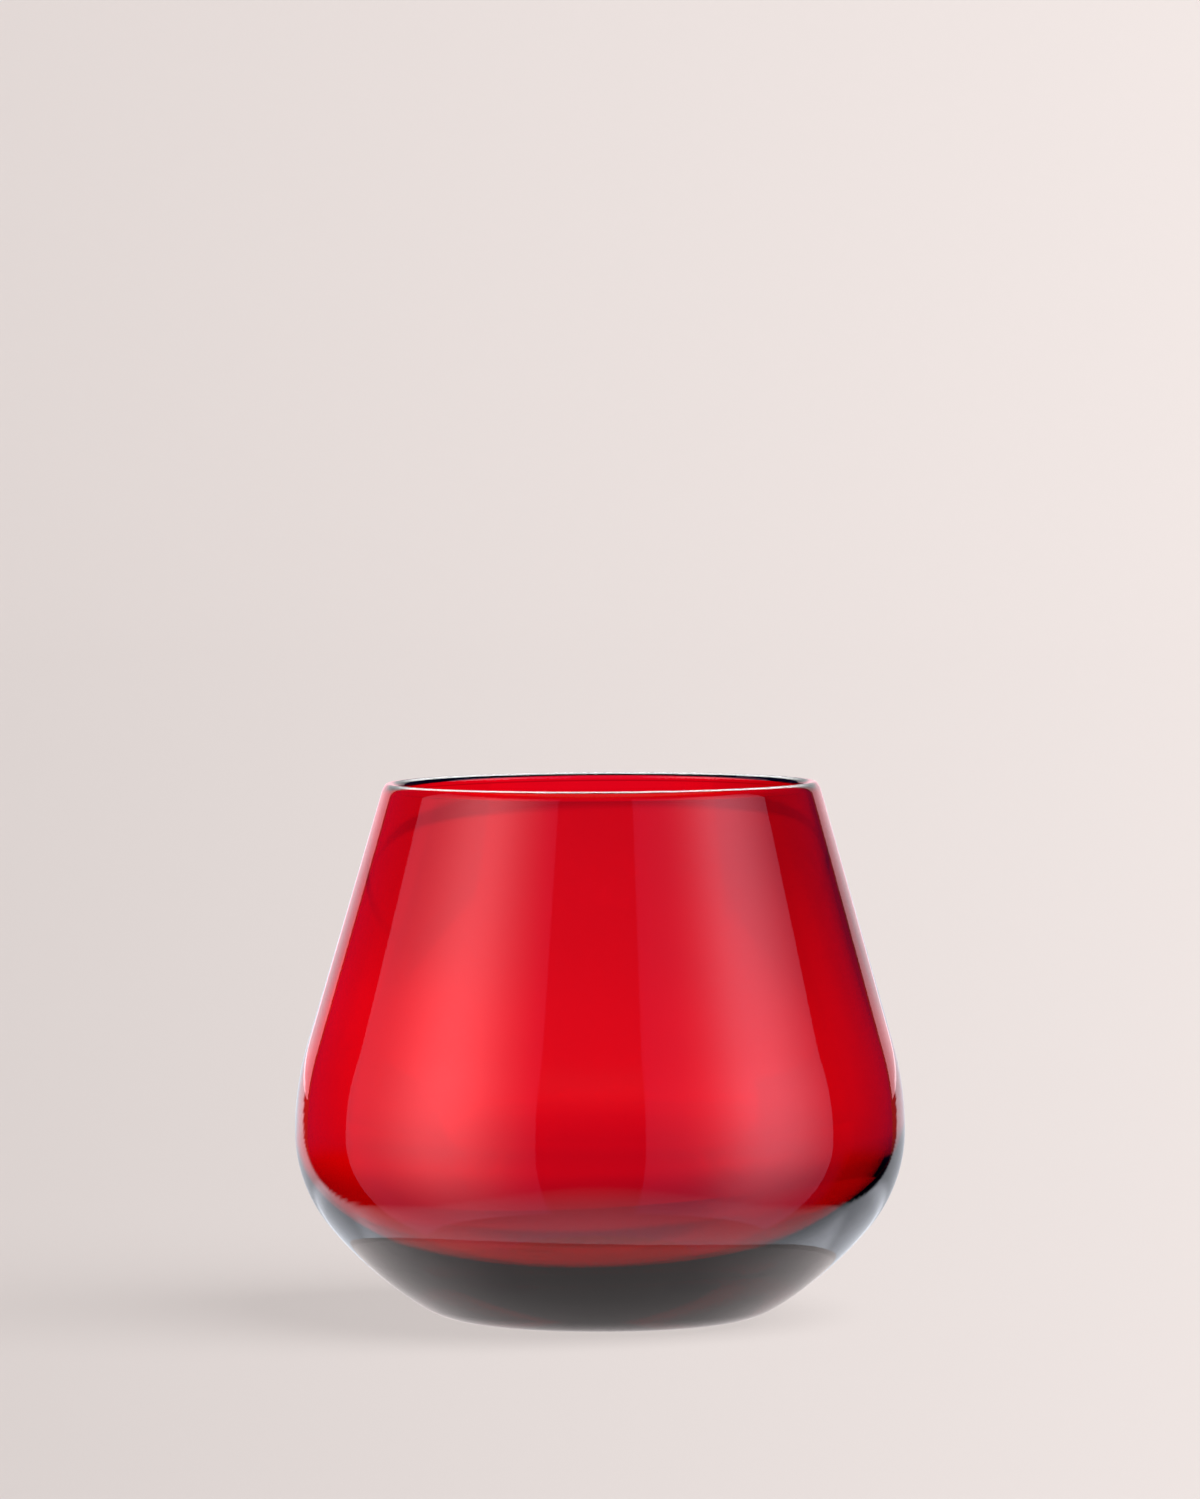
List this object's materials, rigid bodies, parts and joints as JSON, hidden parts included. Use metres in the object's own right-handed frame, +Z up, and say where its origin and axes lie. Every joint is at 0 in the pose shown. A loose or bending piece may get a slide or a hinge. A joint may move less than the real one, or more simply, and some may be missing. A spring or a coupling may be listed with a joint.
{
  "type": "olive oil tasting glass",
  "caption": "Olive oil tasting glass: thin ruby bowl, wide at the belly and drawn in at the mouth to hold the aroma, on a heavy dark base.",
  "frame": {"origin": "centre of the flat underside that the glass stands on", "axes": "+Z up along the axis that the glass is turned about; X and Y are alike"},
  "size_m": [0.07, 0.07, 0.0616],
  "materials": {
    "ruby_glass": "polished",
    "smoke_glass": "polished"
  },
  "bodies": {
    "root": {"ruby_bowl": "ruby_glass", "heavy_base": "smoke_glass"}
  },
  "joints": []
}
